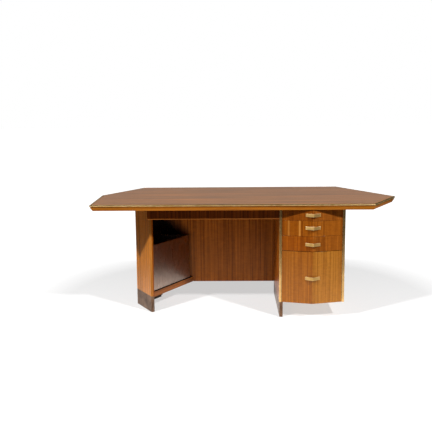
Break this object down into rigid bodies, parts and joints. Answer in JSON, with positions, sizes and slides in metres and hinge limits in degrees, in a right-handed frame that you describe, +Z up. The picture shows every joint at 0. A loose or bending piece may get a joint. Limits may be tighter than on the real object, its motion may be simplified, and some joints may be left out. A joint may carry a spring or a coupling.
{
  "type": "captains desk",
  "caption": "Large kneehole desk with an uneven hexagonal brass-edged top, a slanting left pedestal with a waste bin and a right pedestal of V-fronted drawers.",
  "frame": {"origin": "on the floor, under the centre of the rectangle that the top fills", "axes": "+Z up, the sitter is at -Y, +X to the sitter's right"},
  "size_m": [1.9862, 0.886, 0.75],
  "materials": {
    "top_veneer": "satin veneer, grain along the desk",
    "lipping_wood": "satin solid hardwood",
    "ribbon_veneer": "satin ribbon-stripe veneer, upright grain",
    "drawer_wood": "waxed plain hardwood",
    "dark_wood": "stained black",
    "brass": "aged satin brass",
    "dark_bronze": "patinated brown metal"
  },
  "bodies": {
    "desk": {"top_core": "top_veneer", "lipping_front": "lipping_wood", "lipping_right_front": "lipping_wood", "lipping_right_rear": "lipping_wood", "lipping_rear": "lipping_wood", "lipping_left_rear": "lipping_wood", "lipping_left": "lipping_wood", "brass_edge_front": "brass", "brass_edge_right_front": "brass", "brass_edge_right_rear": "brass", "brass_edge_rear": "brass", "brass_edge_left_rear": "brass", "brass_edge_left": "brass", "wing_front_panel": "ribbon_veneer", "wing_rear_panel": "ribbon_veneer", "wing_corner_lipping": "lipping_wood", "wing_floor": "ribbon_veneer", "wing_foot": "dark_bronze", "wing_foot_batten": "dark_wood", "wing_battens": "drawer_wood", "modesty_panel": "ribbon_veneer", "modesty_batten": "drawer_wood", "apron": "ribbon_veneer", "apron_batten": "drawer_wood", "pedestal_inner_side": "ribbon_veneer", "pedestal_outer_side": "ribbon_veneer", "pedestal_back": "ribbon_veneer", "pedestal_floor": "ribbon_veneer", "pedestal_ceiling": "ribbon_veneer", "pedestal_strip_inner": "brass", "pedestal_strip_outer": "brass", "pedestal_foot": "dark_bronze", "runners_inner": "drawer_wood", "runners_outer": "drawer_wood"},
    "bin": {"waste_bin": "dark_bronze"},
    "drawer_1": {"drawer_1_front": "ribbon_veneer", "drawer_1_left_side": "drawer_wood", "drawer_1_right_side": "drawer_wood", "drawer_1_back": "drawer_wood", "drawer_1_bottom": "drawer_wood", "drawer_1_pull": "brass"},
    "drawer_2": {"drawer_2_front": "ribbon_veneer", "drawer_2_left_side": "drawer_wood", "drawer_2_right_side": "drawer_wood", "drawer_2_back": "drawer_wood", "drawer_2_bottom": "drawer_wood", "drawer_2_pull": "brass"},
    "drawer_3": {"drawer_3_front": "ribbon_veneer", "drawer_3_left_side": "drawer_wood", "drawer_3_right_side": "drawer_wood", "drawer_3_back": "drawer_wood", "drawer_3_bottom": "drawer_wood", "drawer_3_pull": "brass"},
    "drawer_4": {"drawer_4_front": "ribbon_veneer", "drawer_4_left_side": "drawer_wood", "drawer_4_right_side": "drawer_wood", "drawer_4_back": "drawer_wood", "drawer_4_bottom": "drawer_wood", "drawer_4_pull": "brass"}
  },
  "joints": [
    {"name": "drawer_1_slide", "type": "slide", "parent": "desk", "child": "drawer_1", "axis": [0, -1, 0], "range_m": [0, 0.4]},
    {"name": "drawer_2_slide", "type": "slide", "parent": "desk", "child": "drawer_2", "axis": [0, -1, 0], "range_m": [0, 0.4]},
    {"name": "drawer_3_slide", "type": "slide", "parent": "desk", "child": "drawer_3", "axis": [0, -1, 0], "range_m": [0, 0.4]},
    {"name": "drawer_4_slide", "type": "slide", "parent": "desk", "child": "drawer_4", "axis": [0, -1, 0], "range_m": [0, 0.4]},
    {"name": "bin_slide", "type": "slide", "parent": "desk", "child": "bin", "axis": [0.866, -0.5, 0], "range_m": [0, 0.24]}
  ]
}
